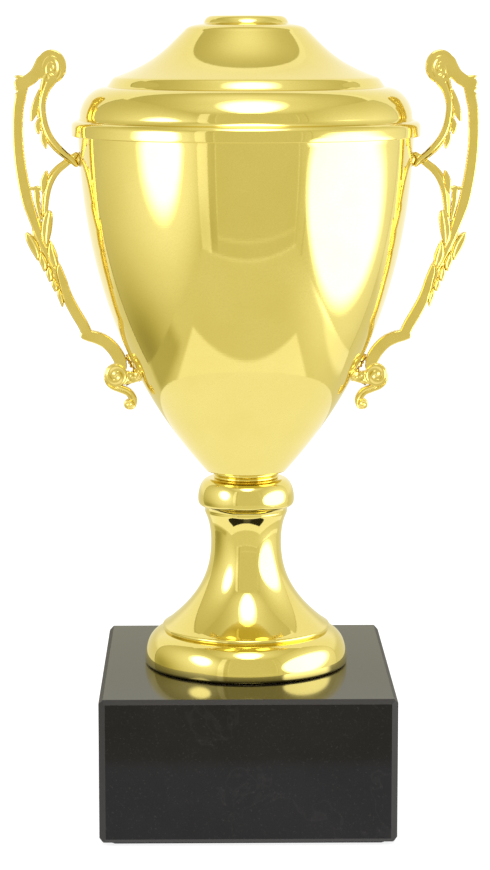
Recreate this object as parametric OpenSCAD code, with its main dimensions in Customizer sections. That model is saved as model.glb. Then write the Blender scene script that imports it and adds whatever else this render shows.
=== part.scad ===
// Lidded trophy cup on a stone block: a spun bowl on a trumpet stem, two cast scroll
// handles screwed on from inside the bowl, and a lid that lifts straight off. One long
// rod through the middle clamps block, stem, collar, ring and bowl together.
// Origin: centre of the underside, +Z up, handles along X, front of the block at -Y.

/* [Stone block] */
// Width of the block, along X
base_w = 100; // [90:1:120]
// Depth of the block, along Y
base_d = 114; // [90:1:130]
// Height of the block's top face above the table
base_h = 50; // [44:1:70]
// Chamfer along the top and bottom edges
edge_chamfer = 1.5; // [0.5:0.1:3]
// Chamfer along the four upright edges
corner_chamfer = 2.2; // [0.5:0.1:4]
// Thickness of the felt under the block
felt_t = 0.8; // [0.5:0.1:2]

/* [Stem and collar] */
// Height of the trumpet stem
stem_h = 54.2; // [50:0.1:60]
// Largest radius of the foot
foot_r = 35.6; // [33:0.1:38]
// Radius of the waist of the stem
waist_r = 12.3; // [11.5:0.1:13]
// Height of the collar
collar_h = 11.4; // [10:0.1:13]
// Largest radius of the collar
collar_r = 16.8; // [16:0.1:18]
// Height of the ring under the bowl
ring_h = 2.7; // [2:0.1:4]
// Radius of the ring under the bowl
ring_r = 11.7; // [10.5:0.1:12.5]

/* [Bowl and lid] */
// Outer radius of the bowl just under its rim
rim_r = 57.6; // [56.5:0.1:58.5]
// Height of the bowl, up to the middle of its rolled rim
bowl_h = 118.7; // [117.5:0.1:120]
// Thickness of the spun sheet metal
sheet_t = 0.8; // [0.6:0.1:1]
// Radius of the rolled rim bead
bead_r = 1; // [0.8:0.1:1.2]
// Height of the lid above its lower edge
lid_h = 40.7; // [40:0.1:42]

/* [Handles] */
// Thickness of a handle across Y
handle_t = 5; // [4:0.1:6]
// Height of the upper handle screw above the bowl's underside
upper_screw_z = 108; // [107:0.1:109]
// Height of the lower handle screw above the bowl's underside
lower_screw_z = 33.4; // [33:0.1:34.5]

/* [Fasteners] */
// Radius of the clamping rod
rod_r = 3; // [2.5:0.1:3]
// Radius of the handle screws
screw_r = 1.5; // [1.5:0.1:1.6]

/* [Hidden] */

$fn = 96;
gold = [0.87, 0.78, 0.42];
steel = [0.72, 0.73, 0.75];

// Levels of the stacked pieces above the table
stem_z = base_h;
collar_z = stem_z + stem_h;
ring_z = collar_z + collar_h;
bowl_z = ring_z + ring_h;
rim_z = bowl_z + bowl_h;
skirt_gap = 0.4;        // between rim bead and lid skirt
lid_r = rim_r + bead_r + skirt_gap + sheet_t;
lid_z = rim_z - 2.7;    // lower edge of the lid's skirt

// Counterbore under the block and the nut stack in it
counterbore_r = 14;
counterbore_top = 19;
washer_t = 1.6;
nut_h = 5;
nut_r = 5.77;           // across the corners of a hexagon 10 mm across flats
lock_washer_r = 5.4;
base_washer_r = 12;
bowl_washer_r = 9;
hole_gap = 0.3;         // clearance of a hole round its rod or screw
thread_bite = 0.05;     // depth to which a thread overlaps its nut
rod_end = 3.5;          // length of rod beyond a nut

// Handle screws, measured along the screw from the bowl's outer face
upper_depth = 4.2;
lower_depth = 5.5;
pilot_extra = 0.8;      // depth of a pilot hole beyond its screw
head_r = 2.75;
head_h = 2;
slot_w = 0.7;
small_washer_r = 3.5;
small_washer_t = 0.5;
seat_gap = 0.2;         // a flat washer stands this far off the curved wall
boss_r = 2.7;

// ---- Curves ----

function bezier(p, n) =
    [for (i = [0 : n]) let (t = i / n, s = 1 - t)
        s * s * s * p[0] + 3 * s * s * t * p[1] + 3 * s * t * t * p[2] + t * t * t * p[3]];

// Smooth curve through every given point; it interpolates widths as well as places
function spline(c, n) = let (last = len(c) - 1)
    concat([for (i = [0 : last - 1]) for (j = [0 : n - 1])
        let (t = j / n, a = c[max(i - 1, 0)], b = c[i], d = c[i + 1], e = c[min(i + 2, last)])
        0.5 * (2 * b + (d - a) * t + (2 * a - 5 * b + 4 * d - e) * t * t
            + (3 * b - a - 3 * d + e) * t * t * t)],
        [c[last]]);

function reversed(p) = [for (i = [len(p) - 1 : -1 : 0]) p[i]];
function plan(v) = [v[0], v[1]];
function unit(v) = v / norm(v);
function along(p, i) = unit(plan(p[min(i + 1, len(p) - 1)]) - plan(p[max(i - 1, 0)]));
function right_of(p, i) = let (t = along(p, i)) [t[1], -t[0]];
function shifted(p, d) = [for (i = [0 : len(p) - 1]) plan(p[i]) + d * right_of(p, i)];

// ---- Profiles, as [radius, height] from each piece's own lower edge ----

// Outside of the bowl, from its flat underside up to the rim
function bowl_line() =
    bezier([[14, 0], [28.3, 16.3], [rim_r - 1.4, 51.5], [rim_r, bowl_h]], 28);

// Outside of the stem, from its top down to the block
function stem_line() = concat(
    bezier([[14.4, stem_h], [14.6, stem_h - 1.2], [waist_r, stem_h - 3], [waist_r, stem_h - 11.2]], 8),
    bezier([[waist_r, stem_h - 11.2], [waist_r, 33.6], [15, 24.3], [28.2, 14.1]], 14),
    bezier([[28.6, 13.9], [29.6, 13.5], [29.6, 12.5], [28.9, 12.2]], 5),
    bezier([[29.2, 12], [33.6, 10.8], [foot_r + 0.3, 6.8], [foot_r, 2.6]], 10),
    bezier([[foot_r - 0.05, 2.2], [foot_r - 0.2, 1.2], [foot_r - 0.6, 0.5], [foot_r - 1, 0]], 3)
);

// Outside of the lid, from the middle of its top down to the edge of its skirt
function lid_line() = concat(
    [[0, lid_h]],
    bezier([[11.3, lid_h], [13, lid_h], [14.1, lid_h - 0.9], [14.4, lid_h - 2.4]], 5),
    bezier([[15.2, lid_h - 2.8], [18.6, lid_h - 3.1], [20.2, lid_h - 3.8], [21.1, lid_h - 5]], 6),
    bezier([[21.3, lid_h - 5.2], [27.5, 29.5], [31, 24.9], [44.8, 20]], 14),
    bezier([[45, 19.9], [46.4, 19.4], [47.1, 18.4], [47.2, 17]], 4),
    bezier([[47.6, 16.7], [52.7, 16.7], [57, 11.7], [57, 6.2]], 10),
    bezier([[57.5, 5.4], [59, 5.2], [lid_r, 4.4], [lid_r, 3.2]], 4),
    [[lid_r, 0]]
);

function bowl_r(z) = lookup(z, [for (p = bowl_line()) [p[1], p[0]]]);
function wall_lean(z) = atan((bowl_r(z + 1) - bowl_r(z - 1)) / 2);

module turned(outline) rotate_extrude() polygon(outline);
module rod(r, z0, z1) translate([0, 0, z0]) cylinder(r = r, h = z1 - z0);

// ---- Block ----

module block_outline(w, d, c) {
    polygon([
        [w / 2 - c, -d / 2], [w / 2, c - d / 2], [w / 2, d / 2 - c], [w / 2 - c, d / 2],
        [c - w / 2, d / 2], [-w / 2, d / 2 - c], [-w / 2, c - d / 2], [c - w / 2, -d / 2]
    ]);
}

// Bar with the block's edge chamfers, seen along its length
module chamfered_bar(w, length) {
    rotate([90, 0, 0])
        translate([0, (base_h + felt_t) / 2, -length / 2])
            linear_extrude(length)
                block_outline(w, base_h - felt_t, edge_chamfer);
}

module marble_base() {
    color([0.17, 0.16, 0.16])
        difference() {
            intersection() {
                linear_extrude(base_h) block_outline(base_w, base_d, corner_chamfer);
                chamfered_bar(base_w, base_d + 1);
                rotate([0, 0, 90]) chamfered_bar(base_d, base_w + 1);
            }
            rod(counterbore_r, -1, counterbore_top);
            rod(rod_r + hole_gap, counterbore_top - 1, base_h + 1);
        }
}

module felt_pad() {
    inset = 2 * edge_chamfer;
    color([0.1, 0.1, 0.11])
        linear_extrude(felt_t)
            block_outline(base_w - 2 * inset, base_d - 2 * inset, corner_chamfer);
}

// ---- Stem, collar and ring ----

module stem() {
    wall = 1.2;
    top_t = 2;
    line = stem_line();
    inner = [for (p = shifted(line, wall)) if (p[1] < stem_h - top_t && p[1] > 0) p];
    color(gold)
        translate([0, 0, stem_z])
            turned(concat(
                [[rod_r + hole_gap, stem_h]], line, [[foot_r - 1 - wall, 0]],
                reversed(inner),
                [[waist_r - 0.6, stem_h - top_t], [rod_r + hole_gap, stem_h - top_t]]
            ));
}

module collar() {
    wall = 1.6;
    shoulder = bezier([[12.6, collar_h], [15.2, collar_h], [collar_r, 8], [collar_r, 4]], 10);
    lower = bezier([[collar_r, 3.6], [collar_r, 2.4], [collar_r - 0.6, 1.9], [15, 1.5]], 5);
    color(gold)
        translate([0, 0, collar_z])
            turned(concat(
                [[rod_r + hole_gap, collar_h]], shoulder, lower,
                [[14.4, 0], [10, 0], [10, wall], [14, wall + 1.4], [14.6, 6],
                    [12, collar_h - wall], [rod_r + hole_gap, collar_h - wall]]
            ));
}

module neck_ring() {
    color(gold)
        translate([0, 0, ring_z])
            turned(concat(
                [[rod_r + hole_gap, 0], [ring_r - 1, 0]],
                bezier([[ring_r - 0.7, 0], [ring_r - 0.2, 0.2], [ring_r - 0.2, 0.9], [ring_r - 0.7, 1.1]], 4),
                bezier([[ring_r - 0.6, 1.2], [ring_r + 0.1, 1.3], [ring_r + 0.1, ring_h], [ring_r - 0.8, ring_h]], 6),
                [[rod_r + hole_gap, ring_h]]
            ));
}

// ---- Bowl ----

// A child drawn on +Z points out of the bowl's wall, square to it, from its outer face
module on_wall(height) {
    translate([bowl_r(height), 0, bowl_z + height])
        rotate([0, 90 + wall_lean(height), 0])
            children();
}

module both_sides() {
    children();
    mirror([1, 0, 0]) children();
}

// Space inside the bowl's outer face, grown by a margin
module bowl_space(margin) {
    translate([0, 0, bowl_z])
        turned(concat([[0, 0]], shifted(bowl_line(), margin), [[0, bowl_h]]));
}

module bowl() {
    line = bowl_line();
    inner = [for (p = shifted(line, -sheet_t)) if (p[1] > sheet_t) p];
    color(gold)
        difference() {
            union() {
                translate([0, 0, bowl_z])
                    turned(concat([[0, 0]], line, reversed(inner), [[12.4, sheet_t], [0, sheet_t]]));
                translate([0, 0, rim_z])
                    rotate_extrude() translate([rim_r, 0]) circle(bead_r, $fn = 24);
            }
            rod(rod_r + hole_gap, bowl_z - 1, bowl_z + 3);
            both_sides() {
                on_wall(upper_screw_z)
                    translate([0, 0, -4]) cylinder(r = screw_r + hole_gap, h = 8);
                on_wall(lower_screw_z)
                    translate([0, 0, -4]) cylinder(r = screw_r + hole_gap, h = 8);
            }
        }
}

// ---- Lid ----

module lid() {
    line = lid_line();
    inner = [for (p = shifted(line, sheet_t)) if (p[1] > 0.1 && p[0] < lid_r - sheet_t - 0.1) p];
    inner_r = lid_r - sheet_t;
    color(gold)
        translate([0, 0, lid_z])
            turned(concat(line, [[inner_r, 0], [inner_r, 3.4]], reversed(inner)));
}

// ---- Handles ----
// Branches of the right handle as [distance beyond the rim radius, height above the
// bowl's underside, half width]. Each one is drawn as a smooth ribbon.

outer_branch = [
    [17.5, 134.5, 2.4], [18.9, 130.5, 2], [20, 126, 1.8], [20.4, 118.5, 1.8], [20.1, 111, 1.8],
    [18.9, 103.4, 1.8], [16.9, 95.2, 1.9], [14.7, 88, 2.8], [12.9, 83, 3.6], [11.7, 77, 3.5],
    [8.1, 69.3, 3.1], [4.5, 61.6, 2.8], [1.6, 56.2, 2.5], [-1.5, 50.4, 2.3], [-2.9, 47.6, 2.2]
];
neck_branch = [
    [8.7, 139.8, 4.4], [11, 138.7, 3.2], [12.9, 137.8, 2.5], [14.3, 136.8, 2.1],
    [16.2, 136, 1.8], [18.2, 135.4, 1.4], [20.3, 135.3, 1.4]
];
inner_branch = [
    [9.9, 135.4, 1.5], [11.2, 131, 1.6], [11.7, 126.5, 1.7], [11.3, 122, 1.6],
    [10, 117.5, 1.6], [7.7, 113.3, 1.5], [4.5, 110.2, 1.4], [0.3, 108.5, 1.3]
];
lower_branch = [
    [0.3, 107.6, 1.3], [4, 106, 1.2], [7.2, 103.4, 1.3], [9.7, 99.8, 1.5],
    [11.3, 95.6, 1.6], [12, 91, 1.8], [12, 86.5, 1.8]
];
arc_branch = [
    [-3.4, 46.9, 2.1], [-6.2, 46.5, 2], [-10.2, 44.6, 2.1], [-13.2, 41.3, 2.2],
    [-14.8, 37.5, 2.3], [-15.1, 34.8, 2.1]
];
scroll_branch = [
    [-14.6, 36.4, 1], [-12.5, 36.4, 1.1], [-10.5, 35, 1.2], [-9.8, 32.4, 1.3], [-11.2, 29.8, 1.3],
    [-14.4, 28.5, 1.3], [-17.7, 26.8, 1.3], [-19.2, 24.2, 1.2], [-18.6, 21.9, 1.2], [-17.3, 21.6, 1.1]
];
arm_branch = [[-13.7, 31.9, 2.3], [-16.7, 31.9, 2.3], [-19.4, 32.5, 2], [-22.1, 33.5, 1.6]];

// Leaves that stand out of the branches, from root to root round the tip
leaves = [
    [[12.9, 128.6], [14.4, 124.4], [15, 121.2], [13.4, 120.6], [12, 121]],
    [[12, 121.4], [13.6, 120.4], [14.4, 117.6], [12.6, 117], [10.8, 116.6]],
    [[11.4, 118], [11.3, 113.8], [10.4, 111.4], [8.8, 112.2], [6.8, 112.6]],
    [[8, 103.7], [11.4, 103.8], [12, 101.6], [12.6, 99.4], [10, 98.6]],
    [[11.6, 99.6], [13.6, 97.6], [15.6, 98.2], [16.6, 96.4], [15.4, 90], [12, 90]],
    [[11.7, 86.5], [10.8, 88.9], [9.6, 89.5], [8.8, 89.1], [8.7, 80.8], [11, 80.8]],
    [[16, 82.4], [17.6, 81.7], [17.9, 80.7], [14.2, 74.6], [12, 76]],
    [[10.5, 78.9], [8.8, 78.9], [8, 77], [9, 74.7], [11, 75]],
    [[7.2, 70.8], [5.4, 71.8], [4.8, 69.4], [7, 68]]
];
// Round ends, the corner of the elbow and the root of the fork, as [place, place, radius]
volutes = [
    [8.1, 139.6, 5.3], [7.8, 137.2, 3.6], [-13.1, 32.9, 3.4], [-17.5, 22.6, 1.5],
    [-3.2, 47.2, 2.3], [2.7, 108.1, 2]
];

module ribbon(c) {
    p = spline(c, 3);
    polygon(concat(
        [for (i = [0 : len(p) - 1]) plan(p[i]) + p[i][2] * right_of(p, i)],
        [for (i = [len(p) - 1 : -1 : 0]) plan(p[i]) - p[i][2] * right_of(p, i)]
    ));
}

module handle_outline() {
    for (c = [outer_branch, neck_branch, inner_branch, lower_branch,
            arc_branch, scroll_branch, arm_branch])
        ribbon(c);
    for (leaf = leaves) polygon(leaf);
    for (v = volutes) translate([v[0], v[1]]) circle(v[2], $fn = 48);
}

// Leaf that lies on the bowl round the lower screw
module leaf_pad() {
    pad_t = 1.7;
    edge = bezier([[-8.5, 0], [-4.5, 5.6], [3, 5], [5, 0]], 8);
    intersection() {
        bowl_space(pad_t);
        on_wall(lower_screw_z)
            translate([0, 0, -4])
                linear_extrude(8)
                    polygon(concat(edge, [for (i = [7 : -1 : 1]) [edge[i][0], -edge[i][1]]]));
    }
}

module pilot(height, depth) {
    on_wall(height)
        translate([0, 0, -2]) cylinder(r = screw_r - thread_bite, h = depth + pilot_extra + 2);
}

module handle() {
    color(gold)
        difference() {
            union() {
                translate([rim_r, handle_t / 2, bowl_z])
                    rotate([90, 0, 0]) linear_extrude(handle_t) handle_outline();
                on_wall(upper_screw_z) translate([0, 0, -1]) cylinder(r = boss_r, h = 4.6);
                on_wall(lower_screw_z) translate([0, 0, -1]) cylinder(r = boss_r, h = 4);
                leaf_pad();
            }
            bowl_space(0.02);
            pilot(upper_screw_z, upper_depth);
            pilot(lower_screw_z, lower_depth);
        }
}

module handle_right() handle();
module handle_left() mirror([1, 0, 0]) handle();

// ---- Clamping rod and its nuts ----

module nut(z) {
    color(steel)
        difference() {
            translate([0, 0, z]) cylinder(r = nut_r, h = nut_h, $fn = 6);
            rod(rod_r - thread_bite, z - 1, z + nut_h + 1);
        }
}

module washer(r, z, t) {
    color(steel)
        difference() {
            rod(r, z, z + t);
            rod(rod_r + hole_gap, z - 1, z + t + 1);
        }
}

base_washer_z = counterbore_top - washer_t;
lock_washer_z = base_washer_z - washer_t;
base_nut_z = lock_washer_z - nut_h;
bowl_washer_z = bowl_z + sheet_t;
bowl_nut_z = bowl_washer_z + washer_t;

module tie_rod() color(steel) rod(rod_r, base_nut_z - rod_end, bowl_nut_z + nut_h + rod_end);
module base_nut() nut(base_nut_z);
module base_lock_washer() washer(lock_washer_r, lock_washer_z, washer_t);
module base_washer() washer(base_washer_r, base_washer_z, washer_t);
module bowl_nut() nut(bowl_nut_z);
module bowl_washer() washer(bowl_washer_r, bowl_washer_z, washer_t);

// ---- Handle screws, driven outwards from inside the bowl ----

small_washer_z = -sheet_t - seat_gap - small_washer_t;

module screw(height, depth) {
    color(steel)
        on_wall(height)
            difference() {
                union() {
                    translate([0, 0, small_washer_z - head_h]) cylinder(r = head_r, h = head_h);
                    translate([0, 0, small_washer_z]) cylinder(r = screw_r, h = depth - small_washer_z);
                }
                for (turn = [0, 90])
                    rotate([0, 0, turn])
                        translate([-head_r * 0.6, -slot_w / 2, small_washer_z - head_h - 1])
                            cube([head_r * 1.2, slot_w, head_h * 0.5 + 1]);
            }
}

module screw_washer(height) {
    color(steel)
        on_wall(height)
            translate([0, 0, small_washer_z])
                difference() {
                    cylinder(r = small_washer_r, h = small_washer_t);
                    translate([0, 0, -1]) cylinder(r = screw_r + hole_gap, h = small_washer_t + 2);
                }
}

module upper_screw_right() screw(upper_screw_z, upper_depth);
module upper_screw_left() mirror([1, 0, 0]) screw(upper_screw_z, upper_depth);
module lower_screw_right() screw(lower_screw_z, lower_depth);
module lower_screw_left() mirror([1, 0, 0]) screw(lower_screw_z, lower_depth);
module upper_washer_right() screw_washer(upper_screw_z);
module upper_washer_left() mirror([1, 0, 0]) screw_washer(upper_screw_z);
module lower_washer_right() screw_washer(lower_screw_z);
module lower_washer_left() mirror([1, 0, 0]) screw_washer(lower_screw_z);

marble_base();
felt_pad();
stem();
collar();
neck_ring();
bowl();
lid();
handle_left();
handle_right();
tie_rod();
base_nut();
base_lock_washer();
base_washer();
bowl_nut();
bowl_washer();
upper_screw_left();
upper_screw_right();
lower_screw_left();
lower_screw_right();
upper_washer_left();
upper_washer_right();
lower_washer_left();
lower_washer_right();
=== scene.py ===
import math

import bmesh
import bpy
import numpy as np
from mathutils import Matrix, Vector


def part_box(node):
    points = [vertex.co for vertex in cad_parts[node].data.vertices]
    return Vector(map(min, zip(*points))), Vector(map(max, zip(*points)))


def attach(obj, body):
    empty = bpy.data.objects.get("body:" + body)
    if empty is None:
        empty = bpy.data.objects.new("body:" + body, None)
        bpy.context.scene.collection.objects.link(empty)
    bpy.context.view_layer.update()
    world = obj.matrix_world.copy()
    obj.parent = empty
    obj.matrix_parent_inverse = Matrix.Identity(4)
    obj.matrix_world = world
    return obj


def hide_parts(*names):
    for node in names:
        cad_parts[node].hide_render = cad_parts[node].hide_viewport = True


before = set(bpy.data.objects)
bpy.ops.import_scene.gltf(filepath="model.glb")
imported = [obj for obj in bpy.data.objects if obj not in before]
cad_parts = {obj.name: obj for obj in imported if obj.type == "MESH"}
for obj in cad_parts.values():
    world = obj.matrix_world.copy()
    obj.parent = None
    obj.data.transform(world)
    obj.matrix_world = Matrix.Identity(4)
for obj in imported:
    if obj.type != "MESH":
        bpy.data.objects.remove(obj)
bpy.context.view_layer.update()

MM = 0.001              # a millimetre in metres


def low(node):
    """Lowest corner of a node's box, in millimetres."""
    return [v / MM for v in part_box(node)[0]]


def high(node):
    """Highest corner of a node's box, in millimetres."""
    return [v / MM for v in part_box(node)[1]]


# ---------------------------------------------------------------- node helpers


class Nodes:
    """Short calls for building a node tree."""

    def __init__(self, tree):
        self.tree = tree
        tree.nodes.clear()

    def add(self, kind, **settings):
        node = self.tree.nodes.new(kind)
        for key, value in settings.items():
            setattr(node, key, value)
        return node

    def plug(self, value, socket):
        if hasattr(value, "is_output"):
            self.tree.links.new(value, socket)
        else:
            socket.default_value = value

    def math(self, operation, a, b=0.0):
        node = self.add("ShaderNodeMath", operation=operation)
        self.plug(a, node.inputs[0])
        self.plug(b, node.inputs[1])
        return node.outputs[0]

    def noise(self, vector, scale, detail=3.0, rough=0.5):
        node = self.add("ShaderNodeTexNoise")
        self.plug(vector, node.inputs["Vector"])
        node.inputs["Scale"].default_value = scale
        node.inputs["Detail"].default_value = detail
        node.inputs["Roughness"].default_value = rough
        return node.outputs["Fac"]

    def span(self, value, lo, hi, to_lo=0.0, to_hi=1.0, smooth=False):
        """The value moved from the range lo to hi into the range to_lo to to_hi."""
        node = self.add("ShaderNodeMapRange")
        if smooth:
            node.interpolation_type = "SMOOTHSTEP"
        self.plug(value, node.inputs["Value"])
        node.inputs["From Min"].default_value = lo
        node.inputs["From Max"].default_value = hi
        node.inputs["To Min"].default_value = to_lo
        node.inputs["To Max"].default_value = to_hi
        return node.outputs["Result"]

    def ramp(self, value, stops):
        node = self.add("ShaderNodeValToRGB")
        while len(node.color_ramp.elements) < len(stops):
            node.color_ramp.elements.new(0.5)
        for element, (place, colour) in zip(node.color_ramp.elements, stops):
            element.position = place
            element.color = colour
        self.plug(value, node.inputs["Fac"])
        return node.outputs["Color"]

    def mix(self, factor, a, b):
        node = self.add("ShaderNodeMix", data_type="RGBA")
        self.plug(factor, node.inputs["Factor"])
        self.plug(a, node.inputs["A"])
        self.plug(b, node.inputs["B"])
        return node.outputs["Result"]

    def bump(self, height, distance, strength=1.0, under=None):
        node = self.add("ShaderNodeBump")
        node.inputs["Strength"].default_value = strength
        node.inputs["Distance"].default_value = distance
        self.plug(height, node.inputs["Height"])
        if under is not None:
            self.plug(under, node.inputs["Normal"])
        return node.outputs["Normal"]

    def place(self):
        """Position in the object's own axes, in metres."""
        return self.add("ShaderNodeTexCoord").outputs["Object"]


def material(name, metallic):
    """A new material, its node tree and its shader, joined to the output."""
    mat = bpy.data.materials.new(name)
    mat.use_nodes = True
    n = Nodes(mat.node_tree)
    shader = n.add("ShaderNodeBsdfPrincipled")
    shader.inputs["Metallic"].default_value = metallic
    out = n.add("ShaderNodeOutputMaterial")
    mat.node_tree.links.new(shader.outputs[0], out.inputs[0])
    return mat, n, shader


def rgb(r, g, b):
    """Linear colour with alpha, from an sRGB one in 0-255."""
    def lin(v):
        v /= 255
        return v / 12.92 if v <= 0.04045 else ((v + 0.055) / 1.055) ** 2.4
    return (lin(r), lin(g), lin(b), 1.0)


# ---------------------------------------------------------------- materials


def spun_gold():
    """Bright plating over spun brass: fine turning lines and a faint mottle."""
    mat, n, shader = material("gold_spun", 1.0)
    place = n.place()
    part = n.add("ShaderNodeSeparateXYZ")
    n.plug(place, part.inputs[0])
    x2 = n.math("MULTIPLY", part.outputs[0], part.outputs[0])
    y2 = n.math("MULTIPLY", part.outputs[1], part.outputs[1])
    radius = n.math("SQRT", n.math("ADD", x2, y2))
    ring = n.add("ShaderNodeCombineXYZ")
    n.plug(radius, ring.inputs[0])
    n.plug(part.outputs[2], ring.inputs[1])
    turning = n.noise(ring.outputs[0], 2600, 2)
    cloud = n.noise(place, 60, 2)
    grain = n.noise(place, 2400, 2)
    colour = n.mix(n.span(cloud, 0.3, 0.7), rgb(231, 213, 122), rgb(235, 218, 130))
    colour = n.mix(n.span(grain, 0.3, 0.7, 0, 0.35), colour, rgb(218, 200, 108))
    n.plug(colour, shader.inputs["Base Color"])
    n.plug(n.span(cloud, 0.3, 0.7, 0.035, 0.06), shader.inputs["Roughness"])
    normal = n.bump(turning, 0.00001, 0.25)
    normal = n.bump(grain, 0.00002, 0.12, normal)
    n.plug(normal, shader.inputs["Normal"])
    return mat


def cast_gold():
    """Plated zinc casting: a little rougher, and a little darker and browner in its grooves, where
    painted shade and tarnish are mixed into the colour.
    """
    mat, n, shader = material("gold_cast", 1.0)
    place = n.place()
    grain = n.noise(place, 1100, 3)
    cloud = n.noise(place, 160, 2)
    # painted shade: ambient occlusion darkens the colour in the grooves towards a tarnish brown
    hollow = n.add("ShaderNodeAmbientOcclusion", samples=8)
    hollow.inputs["Distance"].default_value = 0.0006
    shade = n.span(hollow.outputs["AO"], 0.2, 0.7, 0.45, 1)
    colour = n.mix(n.span(cloud, 0.3, 0.7), rgb(229, 207, 116), rgb(236, 214, 126))
    colour = n.mix(shade, rgb(130, 102, 38), colour)
    n.plug(colour, shader.inputs["Base Color"])
    n.plug(n.span(grain, 0.3, 0.7, 0.1, 0.17), shader.inputs["Roughness"])
    n.plug(n.bump(grain, 0.00003, 0.4), shader.inputs["Normal"])
    return mat


def black_marble():
    """Polished near-black stone: fine pale speckle, a few faint veins, ground matt chamfers."""
    mat, n, shader = material("marble", 0.0)
    place = n.place()
    speck = n.noise(place, 1500, 3, 0.6)
    cloud = n.noise(place, 45, 5, 0.6)
    bent = n.add("ShaderNodeMix", data_type="VECTOR")
    bent.inputs["Factor"].default_value = 0.06
    n.plug(place, bent.inputs["A"])
    warp = n.add("ShaderNodeTexNoise")
    n.plug(place, warp.inputs["Vector"])
    warp.inputs["Scale"].default_value = 30
    n.plug(warp.outputs["Color"], bent.inputs["B"])
    vein = n.noise(bent.outputs["Result"], 22, 4, 0.6)
    line = n.span(n.math("ABSOLUTE", n.math("SUBTRACT", vein, 0.5)), 0.0, 0.012, 1, 0)
    facing = n.add("ShaderNodeSeparateXYZ")
    n.plug(n.add("ShaderNodeTexCoord").outputs["Normal"], facing.inputs[0])
    flat = [n.math("ABSOLUTE", facing.outputs[k]) for k in range(3)]
    flat = n.math("MAXIMUM", n.math("MAXIMUM", flat[0], flat[1]), flat[2])
    ground = n.span(flat, 0.9, 0.97, 1, 0)
    colour = n.ramp(cloud, [(0.3, rgb(12, 11, 12)), (0.7, rgb(22, 20, 21))])
    colour = n.mix(n.span(speck, 0.6, 0.76, 0, 0.45), colour, rgb(66, 63, 61))
    colour = n.mix(n.math("MULTIPLY", line, 0.07), colour, rgb(80, 77, 73))
    colour = n.mix(n.math("MULTIPLY", ground, 0.5), colour, rgb(58, 55, 54))
    n.plug(colour, shader.inputs["Base Color"])
    polish = n.span(speck, 0.3, 0.7, 0.07, 0.11)
    n.plug(n.math("ADD", polish, n.math("MULTIPLY", ground, 0.42)), shader.inputs["Roughness"])
    shader.inputs["Specular IOR Level"].default_value = 0.25
    n.plug(n.bump(n.noise(place, 500, 2), 0.00001, 0.3), shader.inputs["Normal"])
    return mat


def dark_felt():
    """Short dark fibres."""
    mat, n, shader = material("felt", 0.0)
    place = n.place()
    fibre = n.noise(place, 1900, 5, 0.7)
    colour = n.ramp(fibre, [(0.35, rgb(22, 22, 24)), (0.7, rgb(52, 52, 56))])
    n.plug(colour, shader.inputs["Base Color"])
    shader.inputs["Roughness"].default_value = 0.95
    shader.inputs["Sheen Weight"].default_value = 0.4
    n.plug(n.bump(fibre, 0.0003, 0.7), shader.inputs["Normal"])
    return mat


def zinc():
    """Zinc-plated steel with the milky patches of plating."""
    mat, n, shader = material("zinc_steel", 1.0)
    place = n.place()
    patch = n.noise(place, 420, 4)
    scratch = n.noise(place, 3000, 2)
    colour = n.ramp(patch, [(0.35, rgb(165, 167, 168)), (0.65, rgb(205, 206, 204))])
    n.plug(colour, shader.inputs["Base Color"])
    n.plug(n.span(patch, 0.3, 0.7, 0.22, 0.4), shader.inputs["Roughness"])
    n.plug(n.bump(scratch, 0.00003, 0.4), shader.inputs["Normal"])
    return mat


GOLD_SPUN = spun_gold()
GOLD_CAST = cast_gold()
MARBLE = black_marble()
FELT = dark_felt()
ZINC = zinc()

# ---------------------------------------------------------------- mesh helpers


def piece(name, verts, faces, mat, body, nodes, sharp=32):
    """A mesh object in millimetres, shaded smooth but for its sharp edges."""
    mesh = bpy.data.meshes.new(name)
    mesh.from_pydata([(x * MM, y * MM, z * MM) for x, y, z in verts], [], faces)
    bm = bmesh.new()
    bm.from_mesh(mesh)
    bmesh.ops.remove_doubles(bm, verts=bm.verts, dist=1e-7)
    bmesh.ops.recalc_face_normals(bm, faces=bm.faces)
    for edge in bm.edges:
        if len(edge.link_faces) == 2 and edge.calc_face_angle(0) > math.radians(sharp):
            edge.smooth = False
    for face in bm.faces:
        face.smooth = True
    bm.to_mesh(mesh)
    bm.free()
    obj = bpy.data.objects.new(name, mesh)
    bpy.context.scene.collection.objects.link(obj)
    mesh.materials.append(mat)
    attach(obj, body)
    if nodes:
        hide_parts(*nodes)
    return obj


def bezier(a, b, c, d, n):
    """n + 1 points of a cubic curve."""
    pts = np.array([a, b, c, d], float)
    t = np.linspace(0, 1, n + 1)[:, None]
    s = 1 - t
    curve = s**3 * pts[0] + 3 * s * s * t * pts[1] + 3 * s * t * t * pts[2] + t**3 * pts[3]
    return [tuple(p) for p in curve]


def arc(cx, cz, r, start, end, n):
    """n + 1 points of an arc in a profile, angles in degrees."""
    return [(cx + r * math.cos(math.radians(a)), cz + r * math.sin(math.radians(a)))
            for a in np.linspace(start, end, n + 1)]


def shifted(line, d):
    """A profile moved sideways by d, to the right of its direction."""
    p = np.array(line, float)
    t = np.gradient(p, axis=0)
    t /= np.linalg.norm(t, axis=1)[:, None] + 1e-12
    return [tuple(q) for q in p + d * np.stack([t[:, 1], -t[:, 0]], 1)]


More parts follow.
